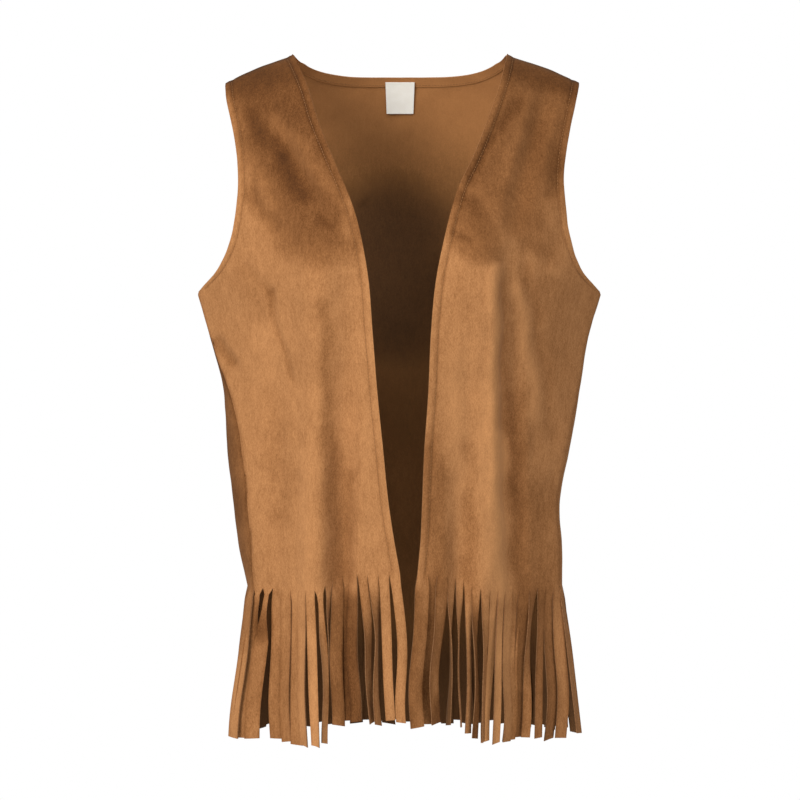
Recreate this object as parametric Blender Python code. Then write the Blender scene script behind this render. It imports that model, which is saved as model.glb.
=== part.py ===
"""Open-front gilet of thin suede cloth with a cut fringe, filled out as it is worn.

The fronts face -Y, +X is the viewer's right and +Z is up. The origin lies between the
neck points of the two shoulder seams, where the wearer's shoulders hold the garment.
"""

import math
from collections import namedtuple
from functools import partial

import bpy
import numpy as np

# Driving dimensions, in metres. A drop is a distance below the neck points.
NECK_HALF = 0.1065
NECK_SLOPE = 0.41  # of the shoulder line where it rounds off at the neck
SHOULDER_DROP = 0.0290
SHOULDER_ROUND = 0.0022  # how far the shoulder line bows up between its ends
BACK_NECK_DROP = 0.0155
UNDERARM_DROP = 0.2380
SLIT_DROP = 0.5300
TIP_DROP = 0.6840
CENTRE_RISE = 0.0170  # how much higher the hem hangs beside the front edges
RISE_START_DROP = 0.4000
RISE_EDGE = 0.0550  # from the centre line, where the rise starts to fall away
RISE_STEP = 0.0250

# Cloth and sewing sizes.
WALL = 0.0015
SEAM_GAP = 0.0003
FRINGE_BAND = 0.0060
SLIT_WIDTH = 0.0012
STRIP_WAIST = 0.0003  # a strip is this much narrower on each side below its root
FRINGE_WALL = 0.0010
HANG_POWER = 0.85  # how a strip's sway grows on its way down
TURN_SHARE = 0.5  # a strip has made its turn this far down
FRINGE_GAP = 0.0005  # between a panel's end and its fringe, measured straight down
HEM_DROP = SLIT_DROP - FRINGE_BAND - FRINGE_GAP  # where the panels end
HEM_WIDTH = 0.0085
HEM_WALL = 0.0010
LABEL_WIDTH = 0.0300
LABEL_LENGTH = 0.0330
LABEL_LIFT = HEM_WALL + 3 * SEAM_GAP  # the label hangs in front of the neck hem
LABEL_LEVEL = 0.0035  # the label starts this far below the edge of the back neck

# Mesh density.
NECK_COLUMN = 11  # the back's columns from each armhole to the neck point
UPPER_ROWS = 15
LOWER_ROWS = 13
STRIP_STEPS = 6
LABEL_STEPS = 4
DENSE = 241  # points on a row before it is divided evenly along the cloth
NUDGE = 0.0010  # step between points that give the cloth's normal

# Section shape: how square the rounding of the back and of its neckline is.
BACK_POWER = 2.2
BACK_NECK_POWER = 5.0

# One row for each level: half-width at the side seams, how far forward each seam lies,
# how far the back is turned at each seam in degrees (below zero, the back bulges past
# the seam), the depths of front and back, and how square the front's rounding is.
SECTION_COLUMNS = (
    "drop", "left", "right", "forward_left", "forward_right", "turn_left", "turn_right",
    "front", "back", "front_power",
)
SECTIONS = (
    (0.0000, 0.2180, 0.2180, 0.000, 0.000, 22, 22, 0.0000, 0.0000, 2.6),
    (0.0040, 0.2180, 0.2180, 0.000, 0.000, 22, 22, 0.0150, 0.0200, 2.6),
    (0.0120, 0.2180, 0.2180, 0.000, 0.000, 22, 22, 0.0290, 0.0370, 2.6),
    (0.0300, 0.2180, 0.2180, 0.000, 0.000, 22, 22, 0.0470, 0.0570, 2.6),
    (0.0600, 0.2180, 0.2180, 0.000, 0.000, 22, 22, 0.0640, 0.0760, 2.6),
    (0.1100, 0.2180, 0.2180, 0.000, 0.000, 22, 22, 0.0830, 0.0910, 2.6),
    (0.1600, 0.2150, 0.2150, 0.000, 0.000, 22, 22, 0.0960, 0.0965, 2.6),
    (0.2100, 0.2080, 0.2070, 0.000, 0.000, 20, 20, 0.1020, 0.0965, 2.5),
    (0.2380, 0.2020, 0.2010, 0.000, 0.000, 18, 18, 0.1020, 0.0950, 2.4),
    (0.2650, 0.1940, 0.1925, 0.001, 0.001, 10, 10, 0.1000, 0.0930, 2.3),
    (0.2950, 0.1850, 0.1845, 0.007, 0.003, -2, 0, 0.0980, 0.0905, 2.2),
    (0.3450, 0.1660, 0.1760, 0.024, 0.006, -19, -8, 0.0930, 0.0870, 2.0),
    (0.4000, 0.1550, 0.1650, 0.035, 0.008, -26, -10, 0.0880, 0.0850, 1.9),
    (0.4500, 0.1500, 0.1565, 0.037, 0.008, -26, -10, 0.0840, 0.0860, 1.8),
    (0.5000, 0.1460, 0.1595, 0.035, 0.008, -24, -10, 0.0800, 0.0880, 1.8),
    (0.5300, 0.1440, 0.1600, 0.031, 0.008, -18, -8, 0.0780, 0.0900, 1.8),
)

# Front edges: distance of each edge from the centre line, from neck point to slits.
EDGE_COLUMNS = ("drop", "left", "right")
FRONT_EDGES = (
    (0.0000, 0.1065, 0.1065),
    (0.0350, 0.0915, 0.0978),
    (0.0750, 0.0790, 0.0840),
    (0.1100, 0.0650, 0.0703),
    (0.1400, 0.0525, 0.0562),
    (0.1650, 0.0432, 0.0485),
    (0.1900, 0.0370, 0.0425),
    (0.2300, 0.0300, 0.0345),
    (0.2800, 0.0262, 0.0297),
    (0.3400, 0.0215, 0.0270),
    (0.4000, 0.0155, 0.0230),
    (0.4600, 0.0100, 0.0210),
    (0.5000, 0.0050, 0.0195),
    (0.5300, 0.0000, 0.0168),
)

# Armholes: distance of each edge from the centre line, from shoulder tip to underarm.
ARMHOLES = (
    (0.0290, 0.1740, 0.1785),
    (0.0500, 0.1710, 0.1735),
    (0.0700, 0.1660, 0.1690),
    (0.1000, 0.1600, 0.1630),
    (0.1300, 0.1578, 0.1600),
    (0.1600, 0.1600, 0.1620),
    (0.1850, 0.1645, 0.1660),
    (0.2050, 0.1725, 0.1725),
    (0.2200, 0.1825, 0.1810),
    (0.2300, 0.1935, 0.1915),
    (0.2380, 0.2020, 0.2010),
)

# Soft folds of each panel: place across at its start and at the tips, where it starts
# and where it has faded out, its half-width at both, and its height (below zero, a trough).
Fold = namedtuple("Fold", "across_top across_low start end half_top half_low height")
FOLDS = {
    "left": (
        Fold(0.0500, 0.0600, 0.180, 0.900, 0.0260, 0.0160, -0.0105),
        Fold(0.0780, 0.0830, 0.180, 0.900, 0.0260, 0.0230, 0.0095),
        Fold(0.1450, -0.1600, 0.020, 0.210, 0.0180, 0.0180, -0.0060),
        Fold(0.0800, 0.0650, 0.130, 0.330, 0.0480, 0.0480, 0.0080),
        Fold(0.1200, 0.1220, 0.280, 0.620, 0.0180, 0.0180, -0.0040),
    ),
    "right": (
        Fold(0.1000, 0.1150, 0.190, 0.550, 0.0200, 0.0200, -0.0110),
        Fold(0.0830, 0.0900, 0.190, 0.580, 0.0220, 0.0220, 0.0060),
        Fold(0.0560, 0.0580, 0.380, 0.900, 0.0180, 0.0160, -0.0070),
        Fold(0.0760, 0.0790, 0.380, 0.900, 0.0180, 0.0160, 0.0070),
        Fold(0.0800, 0.0650, 0.130, 0.330, 0.0480, 0.0480, 0.0080),
        Fold(0.1500, -0.0300, 0.020, 0.190, 0.0180, 0.0180, -0.0050),
    ),
    "back": (
        Fold(-0.0900, -0.1050, 0.220, 0.900, 0.0240, 0.0240, -0.0080),
        Fold(-0.0350, -0.0420, 0.260, 0.900, 0.0260, 0.0260, 0.0070),
        Fold(0.0300, 0.0360, 0.240, 0.900, 0.0240, 0.0240, -0.0080),
        Fold(0.0850, 0.1020, 0.250, 0.900, 0.0260, 0.0260, 0.0070),
    ),
}

# Front fringe, strips counted from the front edge: sway of the tip towards the side,
# turn of the tip in degrees, how far the tip stands out, and length left off.
Strip = namedtuple("Strip", "sway turn out trim")
STRIPS = {
    "left": (
        Strip(-0.0085, 6, 0.000, 0.0095),
        Strip(-0.0068, -6, 0.001, 0.0115),
        Strip(-0.0050, 60, 0.000, 0.0065),
        Strip(-0.0080, 78, 0.000, 0.0085),
        Strip(-0.0030, 12, 0.001, 0.0095),
        Strip(0.0000, 8, 0.000, 0.0100),
        Strip(0.0020, -10, 0.002, 0.0090),
        Strip(0.0010, 62, -0.006, 0.0030),
        Strip(-0.0050, 48, 0.002, 0.0030),
        Strip(-0.0090, 6, 0.004, 0.0030),
        Strip(-0.0050, -8, 0.001, 0.0020),
        Strip(-0.0030, 10, 0.002, 0.0020),
        Strip(-0.0010, -8, 0.000, 0.0040),
        Strip(0.0020, 10, 0.001, 0.0060),
        Strip(0.0140, 8, 0.008, 0.0060),
        Strip(0.0140, 6, 0.012, 0.0060),
    ),
    "right": (
        Strip(-0.0075, -8, 0.004, 0.0050),
        Strip(-0.0080, 10, -0.004, 0.0070),
        Strip(-0.0105, -28, 0.000, 0.0080),
        Strip(-0.0030, -74, 0.000, 0.0055),
        Strip(0.0000, -76, 0.000, 0.0050),
        Strip(0.0000, -54, -0.002, 0.0040),
        Strip(-0.0010, -50, 0.000, 0.0050),
        Strip(-0.0040, -50, 0.001, 0.0050),
        Strip(-0.0060, 8, -0.006, 0.0050),
        Strip(-0.0115, 8, 0.003, 0.0040),
        Strip(-0.0080, -8, 0.001, 0.0040),
        Strip(-0.0080, 10, -0.002, 0.0040),
        Strip(-0.0075, -14, -0.006, 0.0060),
        Strip(-0.0095, 30, -0.001, 0.0060),
        Strip(-0.0070, 8, 0.003, 0.0050),
        Strip(-0.0005, -8, 0.002, 0.0020),
        Strip(0.0025, 10, 0.005, 0.0030),
    ),
}

# Back fringe: unevenness of its strips, and how the side ones stand out.
BACK_STRIPS = 44
BACK_SWAY = 0.0018
BACK_TURN = 10
BACK_OUT = 0.0013
BACK_TRIM = 0.0060
BACK_TRIM_UNEVEN = 0.0020
BACK_FLARE = 0.0030
SIDE_FLARE = 0.0165
SIDE_FLARE_POWER = 4
SWAY_PACE, TURN_PACE, OUT_PACE, TRIM_PACE = 0.6, 2.3, 2.9, 4.1  # radians from strip to strip
TURN_SHIFT, OUT_SHIFT = 1.0, 2.0

# Colours, as linear red, green and blue, and roughness.
SUEDE = (0.4000, 0.1900, 0.0780, 1.0)
SUEDE_ROUGHNESS = 0.9
SUEDE_INSIDE = (0.3000, 0.1350, 0.0550, 1.0)
INSIDE_ROUGHNESS = 0.95
LABEL_CLOTH = (0.8000, 0.7600, 0.6800, 1.0)
LABEL_ROUGHNESS = 0.8


def smooth(at, xs, ys):
    """A curve through the points (xs, ys), read at every value of at."""
    slopes = np.gradient(ys, xs)
    at = np.clip(np.asarray(at, float), xs[0], xs[-1])
    i = np.clip(np.searchsorted(xs, at) - 1, 0, len(xs) - 2)
    span = xs[i + 1] - xs[i]
    t = (at - xs[i]) / span
    start = (1 + 2 * t) * (1 - t) ** 2 * ys[i] + t * (1 - t) ** 2 * span * slopes[i]
    end = t * t * (3 - 2 * t) * ys[i + 1] + t * t * (t - 1) * span * slopes[i + 1]
    return start + end


def column(table, columns, name, at):
    """One named column of a table, read smoothly at the given drops."""
    rows = np.array(table)
    return smooth(at, rows[:, 0], rows[:, columns.index(name)])


def section(name, at):
    return column(SECTIONS, SECTION_COLUMNS, name, at)


def ease(t):
    t = np.clip(t, 0, 1)
    return t * t * (3 - 2 * t)


def shoulder_line(side, x):
    """Drop of a shoulder's line: sloping and bowed outside the neck, rounded off inside it."""
    share = (np.abs(x) - NECK_HALF) / (outer_edge(side, SHOULDER_DROP) - NECK_HALF)
    neck = NECK_SLOPE * NECK_HALF * ((x / NECK_HALF) ** 2 - 1) / 2
    return np.where(share > 0, SHOULDER_DROP * share - bow(share), neck)


def bow(share):
    """How far the shoulder line lies above a straight one, most at two thirds of its length."""
    share = np.clip(share, 0, 1)
    return SHOULDER_ROUND * 27 / 4 * share**2 * (1 - share)


def upper_fade(level):
    """1 at the shoulder, falling to 0 at the underarm."""
    return 1 - ease(level / UNDERARM_DROP)


def below_shoulder(side, x, drop, level):
    return np.maximum(drop - shoulder_line(side, x) * upper_fade(level), 0)


def rise_at(drop):
    """How far the hem's rise at the front edges has grown at a drop."""
    return CENTRE_RISE * ease((drop - RISE_START_DROP) / (HEM_DROP - RISE_START_DROP))


def outer_drop(level):
    """Drop at the armhole end of the row that has this drop at its neck end."""
    if level >= UNDERARM_DROP:
        return level
    return SHOULDER_DROP + (UNDERARM_DROP - SHOULDER_DROP) * level / UNDERARM_DROP


def outer_edge(side, drop):
    """Distance of the armhole's edge, or of the side seam, from the centre line."""
    if drop > UNDERARM_DROP:
        return float(section(side, drop))
    return float(column(ARMHOLES, EDGE_COLUMNS, side, drop))


def fold_height(panel, across, drop):
    """Height of a panel's folds at points of it."""
    height = np.zeros(len(across))
    for fold in FOLDS[panel]:
        down = np.clip((drop - fold.start) / (TIP_DROP - fold.start), 0, 1)
        middle = fold.across_top + (fold.across_low - fold.across_top) * down
        half = fold.half_top + (fold.half_low - fold.half_top) * down
        away = np.clip(np.abs(across - middle) / half, 0, 1)
        fade = np.sin(math.pi * np.clip((drop - fold.start) / (fold.end - fold.start), 0, 1))
        height += fold.height * fade * 0.5 * (1 + np.cos(math.pi * away))
    return height


def folded(row, panel, across, outward):
    """A row with its points moved along its level normal by the panel's folds."""
    along = np.gradient(row, axis=0)
    normal = np.stack((along[:, 1], -along[:, 0]), axis=1) * outward
    normal /= np.linalg.norm(normal, axis=1, keepdims=True)
    moved = row.copy()
    moved[:, :2] += normal * fold_height(panel, across, -row[:, 2])[:, None]
    return moved


def front_row(side, level):
    """A row of one front, from its front edge to its armhole or side seam."""
    sign = -1 if side == "left" else 1
    inner = float(column(FRONT_EDGES, EDGE_COLUMNS, side, level))
    share = np.linspace(0, 1, DENSE)
    across = inner + (outer_edge(side, outer_drop(level)) - inner) * share
    drop = level + (outer_drop(level) - level) * share - bow(share) * upper_fade(level)
    drop -= rise_at(drop) * (1 - ease((across - RISE_EDGE) / RISE_STEP))
    half = section(side, drop)
    seam = section("forward_" + side, drop)
    depth = section("front", below_shoulder(side, across, drop, level)) - seam
    falling = np.minimum(np.abs(across) / half, 1) ** section("front_power", drop)
    y = -depth * (1 - falling) - seam - SEAM_GAP / 2
    row = np.stack((sign * across, y, -drop), axis=1)
    return folded(row, side, across, sign)


def back_half(side, level):
    """Half a row of the back, from its armhole or side seam to the centre line."""
    drop_out = outer_drop(level)
    outer = outer_edge(side, drop_out)
    half = float(section(side, drop_out))
    turn = math.radians(float(section("turn_" + side, drop_out)))
    power = 2 / BACK_POWER
    edge = turn
    if drop_out < UNDERARM_DROP:
        edge = math.acos(math.cos(turn) * (outer / half) ** (1 / power))
    angle = edge + (math.pi / 2 - edge) * np.linspace(0, 1, DENSE)
    x = half * (np.maximum(np.cos(angle), 0) / math.cos(turn)) ** power
    rounding = np.sign(angle) * np.abs(np.sin(angle)) ** power
    at_seam = math.copysign(abs(math.sin(turn)) ** power, turn)
    neck_dip = BACK_NECK_DROP * max(1 - level / UNDERARM_DROP, 0)
    drop = level + neck_dip * (1 - np.minimum(x / NECK_HALF, 1) ** BACK_NECK_POWER)
    beyond = np.clip((x - NECK_HALF) / (outer - NECK_HALF), 0, 1)
    drop += (drop_out - level) * beyond - bow(beyond) * upper_fade(level)
    seam = section("forward_" + side, drop)
    depth = section("back", below_shoulder(side, x, drop, level)) + seam
    y = depth * (rounding - at_seam) / (1 - at_seam) - seam + SEAM_GAP / 2
    return np.stack((x, y, -drop), axis=1)


def back_row(level):
    """A row of the back, from its left armhole or side seam to its right one."""
    left = back_half("left", level) * (-1, 1, 1)
    right = back_half("right", level)
    row = np.concatenate((left, right[-2::-1]))
    return folded(row, "back", row[:, 0], -1)


def lengths(row):
    """Length along the cloth from the start of a row to each of its points."""
    return np.append(0, np.cumsum(np.linalg.norm(np.diff(row, axis=0), axis=1)))


def divide(row, shares):
    """Points at the given shares of a row's length along the cloth."""
    length = lengths(row)
    wanted = np.asarray(shares) * length[-1]
    return np.stack([np.interp(wanted, length, row[:, k]) for k in range(3)], axis=1)


def cloth(row_at, level, shares, outward):
    """Points of the cloth at a level and their normals, facing away from the wearer."""
    shares = np.asarray(shares)
    above = divide(row_at(max(level - NUDGE, 0)), shares)
    below = divide(row_at(level + NUDGE), shares)
    points = divide(row_at(level), shares)
    ahead = divide(row_at(level), np.minimum(shares + NUDGE, 1))
    behind = divide(row_at(level), np.maximum(shares - NUDGE, 0))
    normal = np.cross(below - above, ahead - behind) * outward
    return points, normal / np.linalg.norm(normal, axis=1, keepdims=True)


def panel_levels():
    """Levels of a panel's rows, closer together at the shoulder and the underarm."""
    turns = math.pi * np.arange(2, UPPER_ROWS) / UPPER_ROWS
    upper = UNDERARM_DROP * (1 - np.cos(turns)) / 2
    top = (0, HEM_WIDTH / 3, HEM_WIDTH)
    return np.concatenate((top, upper, np.linspace(UNDERARM_DROP, HEM_DROP, LOWER_ROWS + 1)))


def panel_shares(row_at, count, hems, level):
    """Shares of a panel's columns, the outermost as wide as a hem where one is turned."""
    hem = HEM_WIDTH / lengths(row_at(level))[-1]
    widths = [hem if turned else 1 / count for turned in hems]
    return np.concatenate(((0,), np.linspace(widths[0], 1 - widths[1], count - 1), (1,)))


def front_shares(side, level):
    has_armhole = level < UNDERARM_DROP
    return panel_shares(partial(front_row, side), len(STRIPS[side]), (True, has_armhole), level)


def back_shares(level):
    """Shares of the back's columns, led to the neck points towards the shoulders."""
    row = back_row(level)
    has_armhole = level < UNDERARM_DROP
    plain = panel_shares(back_row, BACK_STRIPS, (has_armhole, has_armhole), level)
    neck = np.interp((-NECK_HALF, NECK_HALF), row[:, 0], lengths(row) / lengths(row)[-1])
    last = BACK_STRIPS
    columns = (0, 1, NECK_COLUMN, last - NECK_COLUMN, last - 1, last)
    ends = (0, plain[1], *neck, plain[-2], 1)
    led = np.interp(np.arange(last + 1), columns, ends)
    return led + (plain - led) * ease(level / UNDERARM_DROP)


def grid_faces(rows, columns):
    """Triangles of a grid whose points are numbered row by row, all split the same way."""
    faces = []
    for r in range(rows - 1):
        for a in range(r * columns, (r + 1) * columns - 1):
            faces.append((a, a + 1, a + columns + 1))
            faces.append((a, a + columns + 1, a + columns))
    return faces


def edge_loop(faces):
    """Edges that belong to one face only, in that face's order."""
    edges = {(f[i - 1], f[i]) for f in faces for i in range(len(f))}
    return [(a, b) for a, b in edges if (b, a) not in edges]


def material(name, colour, roughness):
    made = bpy.data.materials.new(name)
    made.use_nodes = True
    shader = made.node_tree.nodes["Principled BSDF"]
    shader.inputs["Base Color"].default_value = colour
    shader.inputs["Roughness"].default_value = roughness
    shader.inputs["Metallic"].default_value = 0.0
    return made


def wall_object(name, inner, outer, faces, finish):
    """A closed wall between an inner and an outer sheet; the faces run clockwise from outside."""
    count = len(inner)
    sides = list(faces)
    sides += [tuple(count + i for i in reversed(f)) for f in faces]
    sides += [(b, a, count + a, count + b) for a, b in sorted(edge_loop(faces))]
    mesh = bpy.data.meshes.new(name)
    mesh.from_pydata(np.concatenate((inner, outer)).tolist(), [], sides)
    mesh.shade_smooth()
    mesh.materials.append(finish)
    made = bpy.data.objects.new(name, mesh)
    made.parent = bpy.data.objects["gilet"]
    bpy.context.scene.collection.objects.link(made)
    return made


def facing(faces, outward):
    """Faces of a row-by-row grid, turned so that they run clockwise from outside."""
    return faces if outward > 0 else [tuple(reversed(f)) for f in faces]


def patch(row_at, levels, shares_at, outward):
    """Points and normals of a piece of cloth, row by row down the levels."""
    rows = [cloth(row_at, level, shares_at(level), outward) for level in levels]
    return np.array(rows).swapaxes(0, 1)


def sheet_object(name, inner, outer, outward, finish):
    """A closed wall between two grids of points."""
    faces = facing(grid_faces(*inner.shape[:2]), outward)
    return wall_object(name, inner.reshape(-1, 3), outer.reshape(-1, 3), faces, finish)


def panel(name, row_at, shares_at, outward, finish):
    points, normal = patch(row_at, panel_levels(), shares_at, outward)
    sheet_object(name, points, points + WALL * normal, outward, finish)
    return points, normal


def strip_step(start, end, outward, strip, step):
    """The edge points of a strip and its normals, a share step of the way to its tip."""
    along = (end - start) * (1, 1, 0)
    width = np.linalg.norm(along)
    along /= width
    half = width / 2 - STRIP_WAIST
    normal = outward * np.array((along[1], -along[0], 0))
    hang = step**HANG_POWER
    angle = math.radians(strip.turn) * ease(step / TURN_SHARE)
    middle = (start + end) / 2 + (along * strip.sway + normal * strip.out) * hang
    middle[2] -= (TIP_DROP - SLIT_DROP - strip.trim) * step
    broad = math.cos(angle) * along + math.sin(angle) * normal
    facing_out = outward * np.array((broad[1], -broad[0], 0))
    return [middle - half * broad, middle + half * broad], [facing_out, facing_out]


def fringe(name, row_at, shares_at, outward, strips, finish):
    """A narrow band under a panel's edge with the strips that hang from it."""
    count = len(strips)
    slit = SLIT_WIDTH / lengths(row_at(SLIT_DROP))[-1] / 2
    spans = [(i / count + slit, (i + 1) / count - slit) for i in range(count)]
    top, top_normal = cloth(row_at, HEM_DROP + FRINGE_GAP, shares_at(HEM_DROP), outward)
    root, root_normal = cloth(row_at, SLIT_DROP, np.ravel(spans), outward)
    points = [*top, *root]
    normal = [*top_normal, *root_normal]
    roots = [(count + 1 + 2 * i, count + 2 + 2 * i) for i in range(count)]
    faces = [(i, i + 1, b, a) for i, (a, b) in enumerate(roots)]
    faces += [(i, roots[i][0], roots[i - 1][1]) for i in range(1, count)]
    for strip, above in zip(strips, roots):
        start, end = points[above[0]], points[above[1]]
        for k in range(1, STRIP_STEPS + 1):
            edges, facing_out = strip_step(start, end, outward, strip, k / STRIP_STEPS)
            below = (len(points), len(points) + 1)
            points += edges
            normal += facing_out
            faces.append((*above, below[1]))
            faces.append((above[0], below[1], below[0]))
            above = below
    points = np.array(points)
    outer = points + FRINGE_WALL * np.array(normal)
    return wall_object(name, points, outer, facing(faces, outward), finish)


def back_strips():
    """Gentle, uneven hang of the back's strips; those at the sides stand out most."""
    strips = []
    for i in range(BACK_STRIPS):
        side = abs(2 * (i + 0.5) / BACK_STRIPS - 1)
        sway = BACK_SWAY * math.sin(SWAY_PACE * i)
        turn = BACK_TURN * math.sin(TURN_PACE * i + TURN_SHIFT)
        flare = BACK_FLARE + SIDE_FLARE * side**SIDE_FLARE_POWER
        out = flare + BACK_OUT * math.sin(OUT_PACE * i + OUT_SHIFT)
        trim = BACK_TRIM + BACK_TRIM_UNEVEN * math.sin(TRIM_PACE * i)
        strips.append(Strip(sway, turn, out, trim))
    return strips


def inside_piece(name, cloth_part, lift, outward, finish):
    """A thin piece that lies on the wearer's side of a panel, lifted off its face."""
    points, normal = cloth_part
    outer = points - lift * normal
    return sheet_object(name, outer - HEM_WALL * normal, outer, outward, finish)


def hem(name, made_panel, rows, columns, outward, finish):
    """A turned hem: the panel's own points along one edge, moved to the wearer's side."""
    cloth_part = [grid[rows, columns] for grid in made_panel]
    return inside_piece(name, cloth_part, SEAM_GAP, outward, finish)


def armhole_rows():
    """Rows of a panel that carry the armhole's hem."""
    last = np.searchsorted(panel_levels(), UNDERARM_DROP - HEM_WIDTH)
    return slice(1, int(last))


def front(side, suede, inside):
    """One front with its fringe and its two turned hems."""
    outward = -1 if side == "left" else 1
    row_at = partial(front_row, side)
    shares_at = partial(front_shares, side)
    made = panel("front_" + side, row_at, shares_at, outward, suede)
    fringe("fringe_front_" + side, row_at, shares_at, outward, STRIPS[side], suede)
    hem("edge_hem_" + side, made, slice(1, None), slice(0, 2), outward, inside)
    hem("armhole_hem_front_" + side, made, armhole_rows(), slice(-2, None), outward, inside)


def label_shares(level):
    """Even shares of a back row across the label, at the centre line."""
    row = back_row(level)
    half = LABEL_WIDTH / 2
    ends = np.interp((-half, half), row[:, 0], lengths(row) / lengths(row)[-1])
    return np.linspace(*ends, LABEL_STEPS + 1)


def back(suede, inside, label):
    """The back with its fringe, its turned hems and the label at its neck."""
    made = panel("back", back_row, back_shares, -1, suede)
    fringe("fringe_back", back_row, back_shares, -1, back_strips(), suede)
    hem("armhole_hem_back_left", made, armhole_rows(), slice(0, 2), -1, inside)
    hem("armhole_hem_back_right", made, armhole_rows(), slice(-2, None), -1, inside)
    neck = slice(NECK_COLUMN + 1, BACK_STRIPS - NECK_COLUMN)
    hem("neck_hem", made, slice(0, 3), neck, -1, inside)
    levels = np.linspace(LABEL_LEVEL, LABEL_LEVEL + LABEL_LENGTH, LABEL_STEPS + 1)
    tab = patch(back_row, levels, label_shares, -1)
    inside_piece("neck_label", tab, LABEL_LIFT, -1, label)


def build():
    for old in list(bpy.data.objects):
        bpy.data.objects.remove(old)
    bpy.context.scene.collection.objects.link(bpy.data.objects.new("gilet", None))
    suede = material("suede", SUEDE, SUEDE_ROUGHNESS)
    inside = material("suede_inside", SUEDE_INSIDE, INSIDE_ROUGHNESS)
    label = material("label_cloth", LABEL_CLOTH, LABEL_ROUGHNESS)
    for side in ("left", "right"):
        front(side, suede, inside)
    back(suede, inside, label)


build()
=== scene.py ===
"""Open-front suede gilet with a cut fringe: its finished cloth, hems, sewing and label.

Lengths are in metres, apart from those of marks. The fronts face -Y, +X is the viewer's right and
+Z is up. The origin lies between the neck points of the shoulder seams, and a drop is a distance
below them.
"""

import math
from collections import namedtuple
from functools import partial

import bpy
import numpy as np
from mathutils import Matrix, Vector, noise


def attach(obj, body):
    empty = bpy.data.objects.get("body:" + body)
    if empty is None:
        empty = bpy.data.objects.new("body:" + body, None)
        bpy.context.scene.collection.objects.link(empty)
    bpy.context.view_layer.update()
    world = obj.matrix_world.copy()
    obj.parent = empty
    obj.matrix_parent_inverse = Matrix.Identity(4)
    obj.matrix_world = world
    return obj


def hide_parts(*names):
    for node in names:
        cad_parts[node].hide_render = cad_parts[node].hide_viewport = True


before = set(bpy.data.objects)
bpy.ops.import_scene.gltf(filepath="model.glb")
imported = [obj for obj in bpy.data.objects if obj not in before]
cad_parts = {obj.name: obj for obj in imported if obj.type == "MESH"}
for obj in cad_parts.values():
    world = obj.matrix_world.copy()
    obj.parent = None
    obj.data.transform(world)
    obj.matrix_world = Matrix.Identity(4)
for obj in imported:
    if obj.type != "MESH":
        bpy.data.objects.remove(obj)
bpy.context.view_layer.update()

# Cut of the garment, the same as in its solids, but with its seams sewn shut.
NECK_HALF = 0.1065
NECK_SLOPE = 0.41  # of the shoulder line at the neck point, inside which it rounds off
SHOULDER_DROP = 0.0290
SHOULDER_ROUND = 0.0022
BOW_PEAK = 4 / 27  # highest value of share**2 * (1 - share)
BACK_NECK_DROP = 0.0155
UNDERARM_DROP = 0.2380
SLIT_DROP = 0.5300
TIP_DROP = 0.6840
HEM_WIDTH = 0.0085
LABEL_WIDTH = 0.0300
LABEL_LENGTH = 0.0330
LABEL_LEVEL = 0.0035
BACK_POWER = 2.2  # squareness of the back's sections
BACK_NECK_POWER = 5.0  # squareness of its neckline
SIDE_SIGN = {"left": -1, "right": 1}

# The tops of the slits rise towards the front edges.
CENTRE_RISE = 0.0170
RISE_START_DROP = 0.4000
RISE_END_DROP = 0.5235
RISE_EDGE = 0.0550
RISE_STEP = 0.0250

# One row for each level, as in the solids: half-widths at the side seams, how far forward
# each seam lies, how far the back is turned there, the depths, and the front's squareness.
SECTION_COLUMNS = (
    "drop", "left", "right", "forward_left", "forward_right", "turn_left", "turn_right",
    "front", "back", "front_power",
)
SECTIONS = (
    (0.0000, 0.2180, 0.2180, 0.000, 0.000, 22, 22, 0.0000, 0.0000, 2.6),
    (0.0040, 0.2180, 0.2180, 0.000, 0.000, 22, 22, 0.0150, 0.0200, 2.6),
    (0.0120, 0.2180, 0.2180, 0.000, 0.000, 22, 22, 0.0290, 0.0370, 2.6),
    (0.0300, 0.2180, 0.2180, 0.000, 0.000, 22, 22, 0.0470, 0.0570, 2.6),
    (0.0600, 0.2180, 0.2180, 0.000, 0.000, 22, 22, 0.0640, 0.0760, 2.6),
    (0.1100, 0.2180, 0.2180, 0.000, 0.000, 22, 22, 0.0830, 0.0910, 2.6),
    (0.1600, 0.2150, 0.2150, 0.000, 0.000, 22, 22, 0.0960, 0.0965, 2.6),
    (0.2100, 0.2080, 0.2070, 0.000, 0.000, 20, 20, 0.1020, 0.0965, 2.5),
    (0.2380, 0.2020, 0.2010, 0.000, 0.000, 18, 18, 0.1020, 0.0950, 2.4),
    (0.2650, 0.1940, 0.1925, 0.001, 0.001, 10, 10, 0.1000, 0.0930, 2.3),
    (0.2950, 0.1850, 0.1845, 0.007, 0.003, -2, 0, 0.0980, 0.0905, 2.2),
    (0.3450, 0.1660, 0.1760, 0.024, 0.006, -19, -8, 0.0930, 0.0870, 2.0),
    (0.4000, 0.1550, 0.1650, 0.035, 0.008, -26, -10, 0.0880, 0.0850, 1.9),
    (0.4500, 0.1500, 0.1565, 0.037, 0.008, -26, -10, 0.0840, 0.0860, 1.8),
    (0.5000, 0.1460, 0.1595, 0.035, 0.008, -24, -10, 0.0800, 0.0880, 1.8),
    (0.5300, 0.1440, 0.1600, 0.031, 0.008, -18, -8, 0.0780, 0.0900, 1.8),
)

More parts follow.
